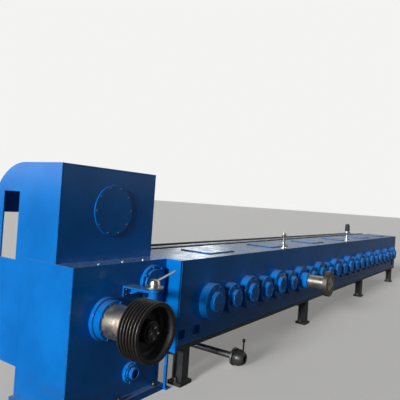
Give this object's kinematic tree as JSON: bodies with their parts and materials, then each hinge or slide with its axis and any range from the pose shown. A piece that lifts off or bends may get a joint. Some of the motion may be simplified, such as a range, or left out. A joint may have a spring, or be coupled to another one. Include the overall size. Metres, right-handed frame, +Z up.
{
  "type": "wire drawing machine",
  "caption": "Long straight-line wire drawing machine: gear case with a row of bearing caps, capstan trough behind, hooded take-off gearbox with belt pulley at one end.",
  "frame": {"origin": "on the floor, under the middle of the take-off gearbox", "axes": "+X along the machine from the take-off end to the wire inlet end, +Y towards the working side with the capstans, +Z up"},
  "size_m": [9.12, 1.524, 1.701],
  "materials": {
    "blue_paint": "glossy machine enamel",
    "bare_steel": "turned, bare",
    "hard_ring": "ground and polished",
    "dark_iron": "dark primer on machined iron",
    "dark_paint": "satin",
    "black_plastic": "matte"
  },
  "bodies": {
    "machine": {"takeoff_base": "blue_paint", "takeoff_gearbox": "blue_paint", "hood_end_plate": "blue_paint", "hood_inner_plate": "blue_paint", "hood_front_panel": "blue_paint", "hood_gear_housing": "blue_paint", "hood_cowl": "blue_paint", "hood_round_cover": "blue_paint", "chamber_floor": "blue_paint", "takeoff_wheels": "hard_ring", "takeoff_wheel_shafts": "bare_steel", "sleeve_flange": "blue_paint", "bearing_sleeve": "bare_steel", "gearbox_caps": "blue_paint", "shift_bracket": "blue_paint", "gear_case": "blue_paint", "gear_case_end_plates": "blue_paint", "top_covers": "blue_paint", "capstan_bearing_caps": "blue_paint", "idler_bearing_caps": "blue_paint", "input_bearing_housing": "blue_paint", "oil_filler": "bare_steel", "breather_pipe": "bare_steel", "breather_cap": "black_plastic", "trough_floor": "blue_paint", "partition_wall": "blue_paint", "partition_rail": "bare_steel", "trough_outer_wall": "blue_paint", "trough_far_wall": "blue_paint", "cover_beam": "dark_paint", "draw_capstans": "hard_ring", "capstan_shafts": "bare_steel", "shaft_seals": "bare_steel", "die_holders": "bare_steel", "pedestal_1": "dark_paint", "pedestal_2": "dark_paint", "pedestal_3": "dark_paint", "pedestal_4": "dark_paint", "end_leg": "blue_paint", "bed_rails": "dark_paint", "drain_pipe": "bare_steel", "drain_riser": "bare_steel", "drain_valve": "dark_paint"},
    "pulley": {"belt_pulley": "dark_iron", "pulley_shaft": "bare_steel"},
    "coupling": {"input_coupling": "bare_steel"},
    "lever": {"shift_lever": "bare_steel"}
  },
  "joints": [
    {"name": "pulley_spin", "type": "hinge", "parent": "machine", "child": "pulley", "pos_m": [-0.157, -0.645, 0.661], "axis": [0, 1, 0], "continuous": true},
    {"name": "input_spin", "type": "hinge", "parent": "machine", "child": "coupling", "pos_m": [2.897, -0.563, 0.648], "axis": [0, 1, 0], "continuous": true},
    {"name": "lever_turn", "type": "hinge", "parent": "machine", "child": "lever", "pos_m": [0.049, -0.504, 0.887], "axis": [0, 0, 1], "range_deg": [-30, 30]}
  ]
}
